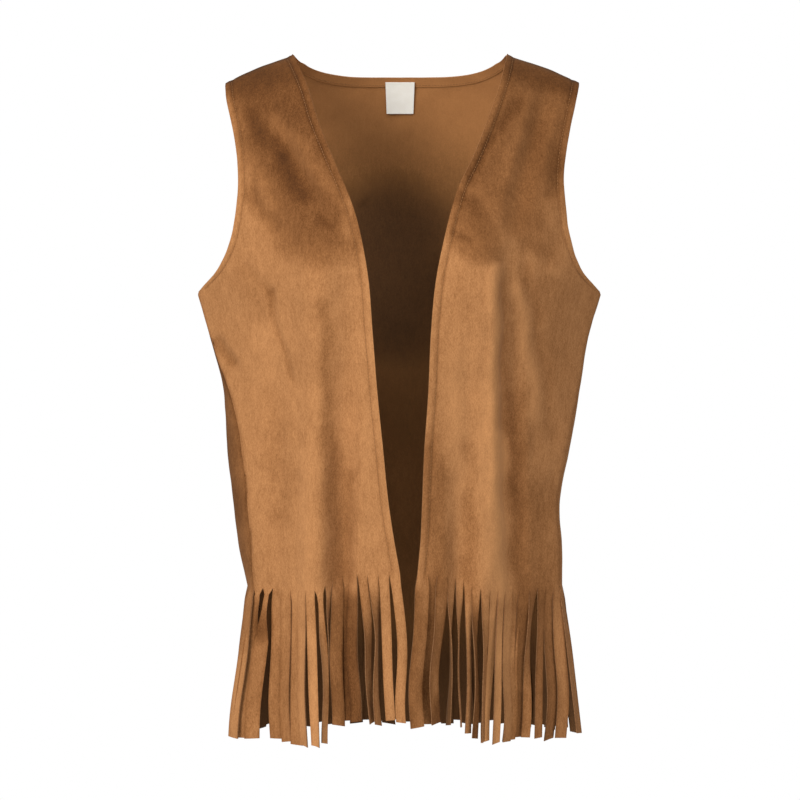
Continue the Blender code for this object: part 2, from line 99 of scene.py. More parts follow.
# Distances of the front edges and of the armholes' edges from the centre line.
EDGE_COLUMNS = ("drop", "left", "right")
FRONT_EDGES = (
    (0.0000, 0.1065, 0.1065),
    (0.0350, 0.0915, 0.0978),
    (0.0750, 0.0790, 0.0840),
    (0.1100, 0.0650, 0.0703),
    (0.1400, 0.0525, 0.0562),
    (0.1650, 0.0432, 0.0485),
    (0.1900, 0.0370, 0.0425),
    (0.2300, 0.0300, 0.0345),
    (0.2800, 0.0262, 0.0297),
    (0.3400, 0.0215, 0.0270),
    (0.4000, 0.0155, 0.0230),
    (0.4600, 0.0100, 0.0210),
    (0.5000, 0.0050, 0.0195),
    (0.5300, 0.0000, 0.0168),
)
ARMHOLES = (
    (0.0290, 0.1740, 0.1785),
    (0.0500, 0.1710, 0.1735),
    (0.0700, 0.1660, 0.1690),
    (0.1000, 0.1600, 0.1630),
    (0.1300, 0.1578, 0.1600),
    (0.1600, 0.1600, 0.1620),
    (0.1850, 0.1645, 0.1660),
    (0.2050, 0.1725, 0.1725),
    (0.2200, 0.1825, 0.1810),
    (0.2300, 0.1935, 0.1915),
    (0.2380, 0.2020, 0.2010),
)

# Large soft folds, as in the solids.
Fold = namedtuple("Fold", "across_top across_low start end half_top half_low height")
FOLDS = {
    "left": (
        Fold(0.05, 0.06, 0.18, 0.9, 0.026, 0.016, -0.0105),
        Fold(0.078, 0.083, 0.18, 0.9, 0.026, 0.023, 0.0095),
        Fold(0.145, -0.16, 0.02, 0.21, 0.018, 0.018, -0.006),
        Fold(0.08, 0.065, 0.13, 0.33, 0.048, 0.048, 0.008),
        Fold(0.12, 0.122, 0.28, 0.62, 0.018, 0.018, -0.004),
    ),
    "right": (
        Fold(0.1, 0.115, 0.19, 0.55, 0.02, 0.02, -0.011),
        Fold(0.083, 0.09, 0.19, 0.58, 0.022, 0.022, 0.006),
        Fold(0.056, 0.058, 0.38, 0.9, 0.018, 0.016, -0.007),
        Fold(0.076, 0.079, 0.38, 0.9, 0.018, 0.016, 0.007),
        Fold(0.08, 0.065, 0.13, 0.33, 0.048, 0.048, 0.008),
        Fold(0.15, -0.03, 0.02, 0.19, 0.018, 0.018, -0.005),
    ),
    "back": (
        Fold(-0.09, -0.105, 0.22, 0.9, 0.024, 0.024, -0.008),
        Fold(-0.035, -0.042, 0.26, 0.9, 0.026, 0.026, 0.007),
        Fold(0.03, 0.036, 0.24, 0.9, 0.024, 0.024, -0.008),
        Fold(0.085, 0.102, 0.25, 0.9, 0.026, 0.026, 0.007),
    ),
}

# Hang of the fringe strips, as in the solids.
Strip = namedtuple("Strip", "sway turn out trim")
STRIPS = {
    "left": (
        Strip(-0.0085, 6, 0, 0.0095),
        Strip(-0.0068, -6, 0.001, 0.0115),
        Strip(-0.005, 60, 0, 0.0065),
        Strip(-0.008, 78, 0, 0.0085),
        Strip(-0.003, 12, 0.001, 0.0095),
        Strip(0, 8, 0, 0.01),
        Strip(0.002, -10, 0.002, 0.009),
        Strip(0.001, 62, -0.006, 0.003),
        Strip(-0.005, 48, 0.002, 0.003),
        Strip(-0.009, 6, 0.004, 0.003),
        Strip(-0.005, -8, 0.001, 0.002),
        Strip(-0.003, 10, 0.002, 0.002),
        Strip(-0.001, -8, 0, 0.004),
        Strip(0.002, 10, 0.001, 0.006),
        Strip(0.014, 8, 0.008, 0.006),
        Strip(0.014, 6, 0.012, 0.006),
    ),
    "right": (
        Strip(-0.0075, -8, 0.004, 0.005),
        Strip(-0.008, 10, -0.004, 0.007),
        Strip(-0.0105, -28, 0, 0.008),
        Strip(-0.003, -74, 0, 0.0055),
        Strip(0, -76, 0, 0.005),
        Strip(0, -54, -0.002, 0.004),
        Strip(-0.001, -50, 0, 0.005),
        Strip(-0.004, -50, 0.001, 0.005),
        Strip(-0.006, 8, -0.006, 0.005),
        Strip(-0.0115, 8, 0.003, 0.004),
        Strip(-0.008, -8, 0.001, 0.004),
        Strip(-0.008, 10, -0.002, 0.004),
        Strip(-0.0075, -14, -0.006, 0.006),
        Strip(-0.0095, 30, -0.001, 0.006),
        Strip(-0.007, 8, 0.003, 0.005),
        Strip(-0.0005, -8, 0.002, 0.002),
        Strip(0.0025, 10, 0.005, 0.003),
    ),
}
BACK_STRIPS = 44
BACK_SWAY = 0.0018
BACK_TURN = 10
BACK_OUT = 0.0013
BACK_TRIM = 0.0060
BACK_TRIM_UNEVEN = 0.0020
BACK_FLARE = 0.0030
SIDE_FLARE = 0.0165
SIDE_FLARE_POWER = 4
SWAY_PACE, TURN_PACE, OUT_PACE, TRIM_PACE = 0.6, 2.3, 2.9, 4.1
TURN_SHIFT, OUT_SHIFT = 1.0, 2.0
HANG_POWER = 0.85  # below 1 a strip strays most just below its root
TURN_SHARE = 0.5  # of a strip's length, where it is fully turned

# Strips of the fronts that stand apart: how much more each twists and how far it strays outwards
# halfway down, how far its sides draw in at its top and whether it still laps its neighbours. All
# other strips lie over and under their neighbours.
Apart = namedtuple("Apart", "twist aside pinch laps", defaults=(0, False))
LAPPED = Apart(0, 0, laps=True)
APART = {
    "left": {
        0: Apart(0, -0.0022),
        1: Apart(14, 0.0002),
        2: Apart(28, -0.0010),
        3: Apart(-8, -0.0014),
        7: Apart(12, 0, 0.0012),
        8: Apart(-12, -0.0004, 0.0018),
        9: Apart(16, 0.0004),
        14: Apart(12, 0.0012, 0.0052, True),
        15: Apart(12, 0.0012, 0.0044, True),
    },
    "right": {
        3: Apart(14, -0.0008),
        4: Apart(-10, -0.0010),
        5: Apart(-14, 0.0006),
        6: Apart(-27, -0.0016),
        7: Apart(4, 0.0010),
        8: Apart(-8, 0.0006),
        9: Apart(-6, -0.0012),
        13: Apart(-56, -0.0016),
        14: Apart(-16, 0.0004),
    },
    "back": {},
}

# Strips painted lighter or darker than their neighbours: painted light where they face the light,
# painted shade where they lie in shadow.
STRIP_LIGHT_AND_SHADE = {
    "left": {2: -0.14, 4: -0.22, 5: -0.26, 6: -0.08, 7: -0.08, 11: -0.08},
    "right": {
        1: -0.16, 6: -0.36, 7: -0.06, 8: 0.16, 9: 0.14, 10: 0.22, 11: 0.06, 12: -0.12, 16: 0.12,
    },
    "back": {},
}

# How far single strips stray at most, and where along them.
STRIP_WAVE = 0.0022
STRIP_SWING = 0.0026
STRIP_TWIST = 12
STRIP_CURL = 0.0012
TIP_SLANT = 0.0012
CURL_SHARE = 0.5  # of a strip's length, where it is fully curled
CURL_MEAN = 1 / 3  # mean of across**2, so that curling doesn't move a strip
PART_POWER = 0.66  # strips part most above their middle
WAVE_PACE = 25  # strips that lap wave together, shifted by this much for each metre across
ROOT_FADE = 0.35  # of a strip's length, where the form of its root has faded
WAIST_STEP = 0.10  # of a strip's length, where it has its full width and lap
PINCH_SHARE = 0.36  # of a strip's length, where its sides may draw in
PINCH_SKEW = 0.6  # below 1 they draw in soon after the root and let out slowly
SLIT_HALF = 0.00055  # half the gap that a slit leaves beside a strip that doesn't lap
STRIP_LAP = 0.0016  # strips that lap are this much wider on each side
FLARE_LAP = 0.09  # and by this share of their flare
LAP_DEPTH = 0.0009
STRIP_TONE = 0.09  # how much lighter or darker than the panel a strip is
# Painted shade along the edges of each strip, beside the gaps between strips.
STRIP_EDGE_SHADE = -0.14
EDGE_TONE_POWER = 4
ROOT_ROWS = 4  # rows over which a strip's own tone sets in

# The finished cloth: where the faces of a sheet lie, the wearer's side first, counted outwards
# from the wearer's side of the panel's solid.
CLOTH_FACES = (0.0002, 0.0012)
HEM_FACES = (-0.00065, -0.0003)
LABEL_FACES = (-0.0017, -0.0012)
LABEL_TAPER = 0.08  # share of its width that the label loses towards its lower edge
UNEVEN = ((24, 0.0010), (70, 0.0003))  # waves to the metre and height of the cloth's unevenness
OUTSIDE, INSIDE, CUT = range(3)  # places of a sheet's materials
SHARP = math.radians(55)  # edges that turn by more are shaded sharp

# Mesh density.
DENSE = 241  # points of a row before it is divided into columns
STRIP_COLUMNS = 6
STRIP_ROWS = 22
HEM_SHARES = np.array((0, 0.14, 0.34, 0.52, 0.68, 0.83, 1))  # columns across a hemmed strip
HEM_COLUMNS = 6  # the first of them, which a turned hem spans
STITCH_COLUMN = 4  # the one under its stitching
HEM_TOP_ROW = 2  # row below the shoulder seam where hems begin
NECK_STRIP = 11  # strips of the back from each armhole to the neck point
TOP_ROWS = 8  # rows at the shoulder seams, which lie closest together
TOP_STEP = 0.0018
ROW_STEP = 0.0035
LABEL_ROWS = 14

# Sewing: how far hems stand up, and how far stitching and seams pull in, as relief and as tone.
Sewn = namedtuple("Sewn", "hem stitches seam")
SEWN_RELIEF = Sewn(0.0007, -0.0007, -0.0008)
SEWN_TONE = Sewn(0.02, -0.16, -0.14)
SEAM_HALF = 0.0030
STITCH_HALF = 0.0018
STITCH_INSET = HEM_SHARES[STITCH_COLUMN] * HEM_WIDTH / HEM_SHARES[HEM_COLUMNS - 1]
STITCH_PITCH = 0.0032
STITCH_LENGTH = 0.0025
THREAD_RADIUS = 0.00026
THREAD_SIDES = 6
STITCH_RINGS = ((-0.5, 0.35), (-0.3, 1.0), (0.3, 1.0), (0.5, 0.35))  # place along, share of radius

# Where the camera stands: level, in front of the garment.
VIEW_DISTANCE = 2.6
VIEW_DROP = 0.345
VIEW_WIDTH = 0.8  # what the picture spans at the depth of the shoulders

# Creases, nap marks and painted light and shade, in millimetres, placed as they are seen from the
# front,
# at the depth of the shoulders: the ends of a line, its half-width, how much lighter or darker it is
# painted (brushed nap, and painted light and shade), how high it stands and how firm its outline is.
MM = 0.001
Mark = namedtuple("Mark", "across drop to_across to_drop half tone height firm", defaults=(0, 1))
CREASE_NAP_AND_SHADE_MARKS = {
    "left": (
        Mark(-126, 0, -78, 148, 76, -0.37, 0, 2),
        Mark(-164, 40, -158, 52, 18, -0.06),
        Mark(-168, 30, -105, 12, 22, -0.10),
        Mark(-150, 38, -110, 50, 40, -0.07, 0, 2),
        Mark(-148, 64, -120, 99, 14, -0.12, -2.2),
        Mark(-84, 56, -78, 88, 18, -0.04),
        Mark(-123, 65, -60, 144, 13, 0.10, 1.2),
        Mark(-88, 81, -74, 100, 11, -0.02, -0.8),
        Mark(-145, 85, -138, 115, 18, -0.10),
        Mark(-140, 120, -130, 150, 10, 0.08, 1),
        Mark(-118, 110, -98, 138, 17, -0.16),
        Mark(-146, 139, -128, 170, 14, -0.12, -1.6),
        Mark(-52, 150, -50, 177, 13, 0.20),
        Mark(-80, 163, -68, 172, 7, -0.10, -0.8),
        Mark(-152, 211, -130, 237, 8, -0.10, -1),
        Mark(-130, 237, -126, 260, 7, -0.15, -1.8),
        Mark(-124, 268, -107, 322, 6, -0.14, -1.4),
        Mark(-155, 225, -140, 255, 22, -0.08),
        Mark(-180, 286, -167, 307, 9, -0.18, -2.4),
        Mark(-75, 250, -73, 360, 12, -0.15, -0.8),
        Mark(-69, 376, -62, 530, 16, -0.19, -1),
        Mark(-50, 420, -50, 522, 12, -0.15),
        Mark(-94, 400, -92, 535, 14, 0.09),
        Mark(-125, 340, -116, 460, 22, -0.07, -0.6),
        Mark(-130, 285, -120, 345, 30, 0.06),
        Mark(-33, 240, -20, 480, 22, 0.05),
        Mark(-57, 555, -50, 680, 24, -0.26, 0, 2),
        Mark(-150, 570, -160, 680, 28, -0.10),
        Mark(-148, 550, -143, 576, 20, -0.26),
        Mark(-118, 600, -118, 690, 20, -0.08),
        Mark(-88, 580, -85, 690, 14, 0.12),
    ),
    "right": (
        Mark(155, 0, 115, 110, 85, -0.30, 0, 2),
        Mark(52, 152, 80, 188, 28, -0.26, 0, 2),
        Mark(140, 75, 138, 105, 18, -0.08),
        Mark(126, 172, 148, 184, 26, -0.09, 0, 1.5),
        Mark(148, 138, 158, 165, 22, 0.10),
        Mark(105, 10, 172, 34, 22, -0.18),
        Mark(117, 49, 97, 72, 12, -0.13, -1.4),
        Mark(89, 83, 70, 126, 11, -0.16, -1.4),
        Mark(157, 90, 153, 138, 12, -0.09, -1),
        Mark(126, 192, 158, 204, 14, -0.14, -0.8),
        Mark(54, 178, 70, 186, 6, -0.12, -1.2),
        Mark(120, 85, 105, 125, 16, 0.06),
        Mark(168, 180, 160, 215, 14, 0.10, 1),
        Mark(102, 230, 102, 328, 7, -0.10, -1),
        Mark(94, 215, 96, 540, 11, 0.17, 2.2),
        Mark(103, 340, 112, 376, 12, -0.11, -0.8),
        Mark(115, 392, 118, 535, 12, -0.14, -0.6),
        Mark(100, 380, 102, 545, 10, 0.18),
        Mark(124, 212, 134, 266, 11, -0.13, -1),
        Mark(136, 281, 150, 380, 12, -0.09, -1),
        Mark(52, 330, 54, 560, 14, 0.10),
        Mark(69, 390, 71, 545, 12, -0.14),
        Mark(85, 330, 87, 560, 12, 0.10),
        Mark(118, 235, 140, 360, 13, 0.15, 1),
        Mark(120, 340, 122, 410, 15, -0.13),
        Mark(65, 290, 68, 420, 30, 0.08),
        Mark(150, 230, 148, 320, 30, -0.08),
        Mark(130, 440, 138, 540, 36, -0.18),
        Mark(30, 400, 45, 530, 34, -0.20),
        Mark(16, 545, 12, 690, 20, -0.34),
        Mark(45, 570, 55, 690, 26, -0.16),
        Mark(38, 645, 38, 690, 10, -0.24),
        Mark(119, 650, 114, 690, 20, -0.14),
        Mark(94, 560, 86, 690, 16, 0.10),
        Mark(110, 540, 106, 600, 14, 0.12),
        Mark(120, 560, 165, 680, 50, -0.18),
    ),
    "back": (
        Mark(-100, 40, 90, 60, 60, -0.16),
        Mark(-85, 85, -40, 140, 14, -0.07, -1.8),
        Mark(62, 135, 46, 205, 12, -0.06, -1.6),
        Mark(-150, 200, -110, 260, 11, -0.08, -2.2),
        Mark(156, 222, 118, 258, 10, -0.08, -2),
        Mark(0, 250, 10, 480, 70, 0.08),
        Mark(-90, 300, -95, 500, 16, -0.12, -1),
        Mark(30, 320, 34, 510, 16, -0.12, -1),
        Mark(120, 300, 128, 420, 12, -0.10, -1.2),
        Mark(-130, 360, -125, 470, 10, -0.10, -0.8),
        Mark(-205, 300, -195, 550, 80, -0.50),
        Mark(-200, 440, -192, 480, 70, -0.16),
    ),
    # Painted light at the top of the inside of the back, a painted shadow of the fronts below it, and
    # painted shade towards the bottom.
    "inside": (
        Mark(-120, 0, 120, 0, 160, 0.38),
        Mark(-10, 188, -4, 240, 82, -0.41, 0, 2),
        Mark(0, 310, 0, 350, 60, -0.08),
        Mark(4, 430, 4, 450, 50, 0.06),
        Mark(-120, 640, 120, 640, 80, -0.34, 0, 2),
    ),
}

# The outline of a mark strays in waves down and across the cloth, in millimetres too.
WANDER = 3.5
WANDER_DOWN, WANDER_ACROSS = 0.095, 0.041  # radians to the millimetre
WANDER_HALF = 20  # marks with a smaller half-width stray less

# Materials: roughness, sheen, the sheen's tint and the colours from dark to light.
Surface = namedtuple("Surface", "roughness sheen tint stops")
WHITE = (1, 1, 1, 1)
WARM_TINT = (1, 0.65, 0.4, 1)
PALE_TINT = (1, 0.9, 0.8, 1)
SPECULAR = 0.10
SHEEN_ROUGHNESS = 0.5
NAP = Surface(0.95, 0.08, WARM_TINT, (
    (0.00, (0.058, 0.021, 0.006)),
    (0.15, (0.114, 0.0425, 0.0118)),
    (0.40, (0.235, 0.098, 0.033)),
    (0.65, (0.370, 0.169, 0.064)),
    (1.00, (0.540, 0.258, 0.100)),
))
INSIDE_NAP = Surface(0.95, 0.08, WARM_TINT, (
    (0.00, (0.060, 0.028, 0.012)),
    (0.50, (0.200, 0.088, 0.029)),
    (1.00, (0.460, 0.200, 0.070)),
))
CUT_EDGE = Surface(0.95, 0.05, PALE_TINT, ((0.3, (0.13, 0.059, 0.023)), (0.7, (0.26, 0.124, 0.053))))
THREAD = Surface(0.6, 0.1, PALE_TINT, ((0.35, (0.17, 0.075, 0.025)), (0.65, (0.31, 0.145, 0.052))))
LABEL = Surface(0.75, 0.15, WHITE, ((0.0, (0.92, 0.89, 0.81)), (0.8, (1.00, 0.98, 0.92))))
NAP_MIDDLE = 0.60  # place of unbrushed nap among its colours
INSIDE_MIDDLE = 0.50
INSIDE_NOISE = 0.5  # strength of the inside's noise, as a share of the outside's
NAP_CALM = 0.8  # how much weaker the noise grows where nap marks and painted light and shade make the tone lighter or darker

# Noise of the nap: lumps to the metre, detail, stretch and share of the tone.
NapNoise = namedtuple("NapNoise", "scale detail stretch share")
NAP_NOISES = (
    NapNoise(30, 2, (1, 1, 0.6), 0.07),
    NapNoise(100, 3, (1.3, 1.3, 0.6), 0.10),
    NapNoise(260, 3, (1.5, 1.5, 0.5), 0.14),
    NapNoise(900, 2, (1.3, 1.3, 0.6), 0.28),
)
NOISE_MIDDLE = 0.5

# Fine grain of the materials, in lumps to the metre with detail, and distances and strengths of bumps.
NAP_GRAIN, NAP_BUMP = (900, 4), (0.0004, 0.35)
EDGE_FIBRES, EDGE_BUMP = (700, 3), (0.0003, 0.5)
THREAD_TWIST = (1800, 1)
LABEL_SLUBS, LABEL_BUMP = (160, 3), (0.0002, 0.3)
LABEL_UNEVEN = 0.5
LABEL_WEAVE = 420

# Studio: soft boxes with their places, sizes, powers and colours, the background and the floor.
Light = namedtuple("Light", "name place size power colour")
LIGHTS = (
    Light("key", (-1.9, -2.1, 0.6), (1.3, 1.6), 80, (1, 0.98, 0.95)),
    Light("fill", (1.9, -2.0, 0.1), (1.2, 1.6), 18, (1, 0.98, 0.95)),
    Light("top", (0.1, -1.5, 1.4), (1.4, 1.0), 24, (1, 1, 1)),
)
LIGHT_AIM = (0, 0, -0.33)
WORLD_LIGHT = 0.20
WORLD_SEEN = 1.0
FLOOR_DROP = 1.05
FLOOR_HALF = 1.5
FLOOR_COLOUR = (0.85, 0.85, 0.85, 1)
FLOOR_ROUGHNESS = 0.9

SEED = 7  # for the strips' random strays

# A panel: its key in the tables, the function of its rows, the sign that turns its normals outwards,
# its strips, which of its first and last edges is hemmed below the armhole too, and the back's
# number of strips from each armhole to the neck.
Panel = namedtuple("Panel", "key row_at outward strips hems neck_strip")


# Shape of the cloth


def smooth(at, xs, ys):
    """A curve through the points (xs, ys), read at every value of at."""
    slopes = np.gradient(ys, xs)
    at = np.clip(np.asarray(at, float), xs[0], xs[-1])
    i = np.clip(np.searchsorted(xs, at) - 1, 0, len(xs) - 2)
    span = xs[i + 1] - xs[i]
    t = (at - xs[i]) / span
    start = (1 + 2 * t) * (1 - t) ** 2 * ys[i] + t * (1 - t) ** 2 * span * slopes[i]
    end = t * t * (3 - 2 * t) * ys[i + 1] + t * t * (t - 1) * span * slopes[i + 1]
    return start + end


def column(table, columns, name, at):
    """One named column of a table, read smoothly at the given drops."""
    rows = np.array(table)
    return smooth(at, rows[:, 0], rows[:, columns.index(name)])


def section(name, at):
    return column(SECTIONS, SECTION_COLUMNS, name, at)


def ease(t):
    t = np.clip(t, 0, 1)
    return t * t * (3 - 2 * t)


def unit(vectors):
    return vectors / np.linalg.norm(vectors, axis=-1, keepdims=True)


def shoulder_line(side, x):
    """Drop of a shoulder's line: sloping and bowed outside the neck, rounded off inside it."""
    share = (np.abs(x) - NECK_HALF) / (outer_edge(side, SHOULDER_DROP) - NECK_HALF)
    neck = NECK_SLOPE * NECK_HALF * ((x / NECK_HALF) ** 2 - 1) / 2
    return np.where(share > 0, SHOULDER_DROP * share - bow(share), neck)


def bow(share):
    """How far the shoulder line lies above a straight one, most at two thirds of its length."""
    share = np.clip(share, 0, 1)
    return SHOULDER_ROUND / BOW_PEAK * share**2 * (1 - share)


def upper_fade(level):
    """1 at the shoulder, falling to 0 at the underarm."""
    return 1 - ease(level / UNDERARM_DROP)


def below_shoulder(side, x, drop, level):
    return np.maximum(drop - shoulder_line(side, x) * upper_fade(level), 0)


def rise_at(drop):
    """How far the hem's rise at the front edges has grown at a drop."""
    return CENTRE_RISE * ease((drop - RISE_START_DROP) / (RISE_END_DROP - RISE_START_DROP))


def outer_drop(level):
    """Drop at the armhole end of the row that has this drop at its neck end."""
    if level >= UNDERARM_DROP:
        return level
    return SHOULDER_DROP + (UNDERARM_DROP - SHOULDER_DROP) * level / UNDERARM_DROP


def outer_edge(side, drop):
    """Distance of the armhole's edge, or of the side seam, from the centre line."""
    if drop > UNDERARM_DROP:
        return float(section(side, drop))
    return float(column(ARMHOLES, EDGE_COLUMNS, side, drop))


def fold_height(panel, across, drop):
    """Height of a panel's large folds at points of it."""
    height = np.zeros(len(across))
    for fold in FOLDS[panel]:
        down = np.clip((drop - fold.start) / (TIP_DROP - fold.start), 0, 1)
        middle = fold.across_top + (fold.across_low - fold.across_top) * down
        half = fold.half_top + (fold.half_low - fold.half_top) * down
        away = np.clip(np.abs(across - middle) / half, 0, 1)
        fade = np.sin(math.pi * np.clip((drop - fold.start) / (fold.end - fold.start), 0, 1))
        height += fold.height * fade * 0.5 * (1 + np.cos(math.pi * away))
    return height


def folded(row, panel, across, outward):
    """A row with its points moved along its level normal by the panel's large folds."""
    along = np.gradient(row, axis=0)
    normal = unit(np.stack((along[:, 1], -along[:, 0]), axis=1) * outward)
    moved = row.copy()
    moved[:, :2] += normal * fold_height(panel, across, -row[:, 2])[:, None]
    return moved


def front_row(side, level):
    """A row of one front, from its front edge to its armhole or side seam."""
    sign = SIDE_SIGN[side]
    inner = float(column(FRONT_EDGES, EDGE_COLUMNS, side, level))
    share = np.linspace(0, 1, DENSE)
    across = inner + (outer_edge(side, outer_drop(level)) - inner) * share
    drop = level + (outer_drop(level) - level) * share - bow(share) * upper_fade(level)
    drop -= rise_at(drop) * (1 - ease((across - RISE_EDGE) / RISE_STEP))
    half = section(side, drop)
    seam = section("forward_" + side, drop)
    depth = section("front", below_shoulder(side, across, drop, level)) - seam
    falling = np.minimum(np.abs(across) / half, 1) ** section("front_power", drop)
    y = -depth * (1 - falling) - seam
    row = np.stack((sign * across, y, -drop), axis=1)
    return folded(row, side, across, sign)


def back_half(side, level):
    """Half a row of the back, from its armhole or side seam to the centre line."""
    drop_out = outer_drop(level)
    outer = outer_edge(side, drop_out)
    half = float(section(side, drop_out))
    turn = math.radians(float(section("turn_" + side, drop_out)))
    power = 2 / BACK_POWER
    edge = turn
    if drop_out < UNDERARM_DROP:
        edge = math.acos(math.cos(turn) * (outer / half) ** (1 / power))
    angle = edge + (math.pi / 2 - edge) * np.linspace(0, 1, DENSE)
    x = half * (np.maximum(np.cos(angle), 0) / math.cos(turn)) ** power
    rounding = np.sign(angle) * np.abs(np.sin(angle)) ** power
    at_seam = math.copysign(abs(math.sin(turn)) ** power, turn)
    neck_dip = BACK_NECK_DROP * max(1 - level / UNDERARM_DROP, 0)
    drop = level + neck_dip * (1 - np.minimum(x / NECK_HALF, 1) ** BACK_NECK_POWER)
    beyond = np.clip((x - NECK_HALF) / (outer - NECK_HALF), 0, 1)
    drop += (drop_out - level) * beyond - bow(beyond) * upper_fade(level)
    seam = section("forward_" + side, drop)
    depth = section("back", below_shoulder(side, x, drop, level)) + seam
    y = depth * (rounding - at_seam) / (1 - at_seam) - seam
    return np.stack((x, y, -drop), axis=1)


def back_row(level):
    """A row of the back, from its left armhole or side seam to its right one."""
    left = back_half("left", level) * (SIDE_SIGN["left"], 1, 1)
    right = back_half("right", level)
    row = np.concatenate((left, right[-2::-1]))
    return folded(row, "back", row[:, 0], -1)


def lengths(row):
    """Length along the cloth from the start of a row to each of its points."""
    return np.append(0, np.cumsum(np.linalg.norm(np.diff(row, axis=0), axis=1)))


def read_line(at, places, points):
    """A line of points that lie at the given places along it, read at other places."""
    return np.stack([np.interp(at, places, points[:, k]) for k in range(3)], axis=1)


def divide(row, shares):
    """Points at the given shares of a row's length along the cloth."""
    length = lengths(row)
    return read_line(np.asarray(shares) * length[-1], length, row)


# Finer form of the cloth


def levels():
    """Levels of a panel's rows, closest together at the shoulder seams."""
    top = np.arange(TOP_ROWS) * TOP_STEP
    count = round((SLIT_DROP - top[-1]) / ROW_STEP)
    return np.concatenate((top, np.linspace(top[-1], SLIT_DROP, count + 1)[1:]))


def strip_places(count):
    """Places of a panel's columns, counted in strips; the outermost strips carry the hems."""
    even = np.linspace(0, 1, STRIP_COLUMNS + 1)
    places = [i + even[:-1] for i in range(1, count - 1)]
    last = count - HEM_SHARES[::-1]
    return np.concatenate((HEM_SHARES[:-1], *places, last))


def column_shares(panel, level):
    """Shares of a row's columns. The outermost strips keep their width all the way up."""
    count = len(panel.strips)
    row = panel.row_at(level)
    length = lengths(row)
    hem = lengths(panel.row_at(SLIT_DROP))[-1] / count / length[-1]
    places = strip_places(count)
    plain = np.interp(places, (0, 1, count - 1, count), (0, hem, 1 - hem, 1))
    if not panel.neck_strip:
        return plain
    neck = np.interp((-NECK_HALF, NECK_HALF), row[:, 0], length / length[-1])
    ends = (0, 1, panel.neck_strip, count - panel.neck_strip, count - 1, count)
    led = np.interp(places, ends, (0, hem, *neck, 1 - hem, 1))
    return led + (plain - led) * ease(level / UNDERARM_DROP)


def front_place(points):
    """Where points are seen from the front, as marks are placed: across and drop in millimetres."""
    nearness = VIEW_DISTANCE / (VIEW_DISTANCE + points[..., 1])
    drop = VIEW_DROP - (points[..., 2] + VIEW_DROP) * nearness
    return points[..., 0] * nearness / MM, drop / MM


def on_mark(mark, across, drop):
    """1 on a mark's line, falling softly and unevenly to 0 at its half-width."""
    stray = WANDER * np.sin(WANDER_DOWN * drop + WANDER_ACROSS * across)
    stray *= min(mark.half / WANDER_HALF, 1)
    run = np.array((mark.to_across - mark.across, mark.to_drop - mark.drop))
    aside, down = across + stray - mark.across, drop - mark.drop
    share = np.clip((aside * run[0] + down * run[1]) / (run @ run), 0, 1)
    away = np.hypot(aside - share * run[0], down - share * run[1])
    return (1 - np.clip(away / mark.half, 0, 1) ** (2 * mark.firm)) ** 2


def marked(key, points, what):
    """The sum of a panel's marks at points, as tone (brushed nap with painted light and shade) or as
    height in millimetres.
    """
    across, drop = front_place(points)
    return sum(getattr(mark, what) * on_mark(mark, across, drop) for mark in CREASE_NAP_AND_SHADE_MARKS[key])


def unevenness(points):
    """Small soft waves all over the cloth."""
    flat = points.reshape(-1, 3)
    height = np.zeros(len(flat))
    for pace, size in UNEVEN:
        height += [size * noise.noise(Vector(p * pace)) for p in flat]
    return height.reshape(points.shape[:-1])


def normals(grid, outward):
    """Normals of a grid of points, facing away from the wearer."""
    return unit(np.cross(np.gradient(grid, axis=0), np.gradient(grid, axis=1)) * outward)


def on_seam(grid, hems):
    """Which points of a panel lie on its shoulder and side seams."""
    seam = np.zeros(grid.shape[:2], bool)
    seam[0] = np.abs(grid[0, :, 0]) > NECK_HALF
    below = levels() >= UNDERARM_DROP
    for edge, whole in zip((0, -1), hems):
        seam[below, edge] = not whole
    return seam


def panel_normals(grid, panel):
    """Normals of a panel's points, turned straight out or up on its seams so that panels meet."""
    normal = normals(grid, panel.outward)
    normal[on_seam(grid, panel.hems), 1] = 0
    return unit(normal)


def near(away, half):
    return np.exp(-((away / half) ** 2))


def seam_effect(effect, away):
    """What a seam adds at a distance from it."""
    return effect.seam * near(away, SEAM_HALF)


def hem_effect(effect, away):
    """What a hem and its stitching add at a distance from the edge of the cloth."""
    on_hem = 1 - ease((away - STITCH_INSET) / STITCH_HALF)
    return effect.hem * on_hem + effect.stitches * near(away - STITCH_INSET, STITCH_HALF)


def sewn(grid, hems, effect):
    """What the hems and seams of a panel add to its height or to its tone."""
    steps = np.linalg.norm(np.diff(grid, axis=1), axis=2)
    from_first = np.concatenate((np.zeros((len(grid), 1)), np.cumsum(steps, axis=1)), axis=1)
    to_last = from_first[:, -1:] - from_first
    at = levels()[:, None]
    armhole = ease((UNDERARM_DROP - at) / HEM_WIDTH)
    total = seam_effect(effect, at) * (np.abs(grid[..., 0]) > NECK_HALF)
    for away, whole in zip((from_first, to_last), hems):
        share = 1.0 if whole else armhole
        total = total + share * hem_effect(effect, away) + (1 - share) * seam_effect(effect, away)
    return total


def panel_grid(panel):
    """Points, normals and sewn tone of a panel above its slits, with its creases and its sewing."""
    grid = np.array([divide(panel.row_at(level), column_shares(panel, level)) for level in levels()])
    normal = panel_normals(grid, panel)
    relief = MM * marked(panel.key, grid, "height") + unevenness(grid)
    relief += sewn(grid, panel.hems, SEWN_RELIEF)
    tone = sewn(grid, panel.hems, SEWN_TONE)
    grid += relief[..., None] * normal
    return grid, panel_normals(grid, panel), tone


# Meshes


def grid_faces(numbers, outward):
    """Faces of a grid of numbered points."""
    corners = [numbers[:-1, :-1], numbers[:-1, 1:], numbers[1:, 1:], numbers[1:, :-1]]
    if outward < 0:
        corners.reverse()
    return np.stack(corners, axis=-1).reshape(-1, 4).tolist()


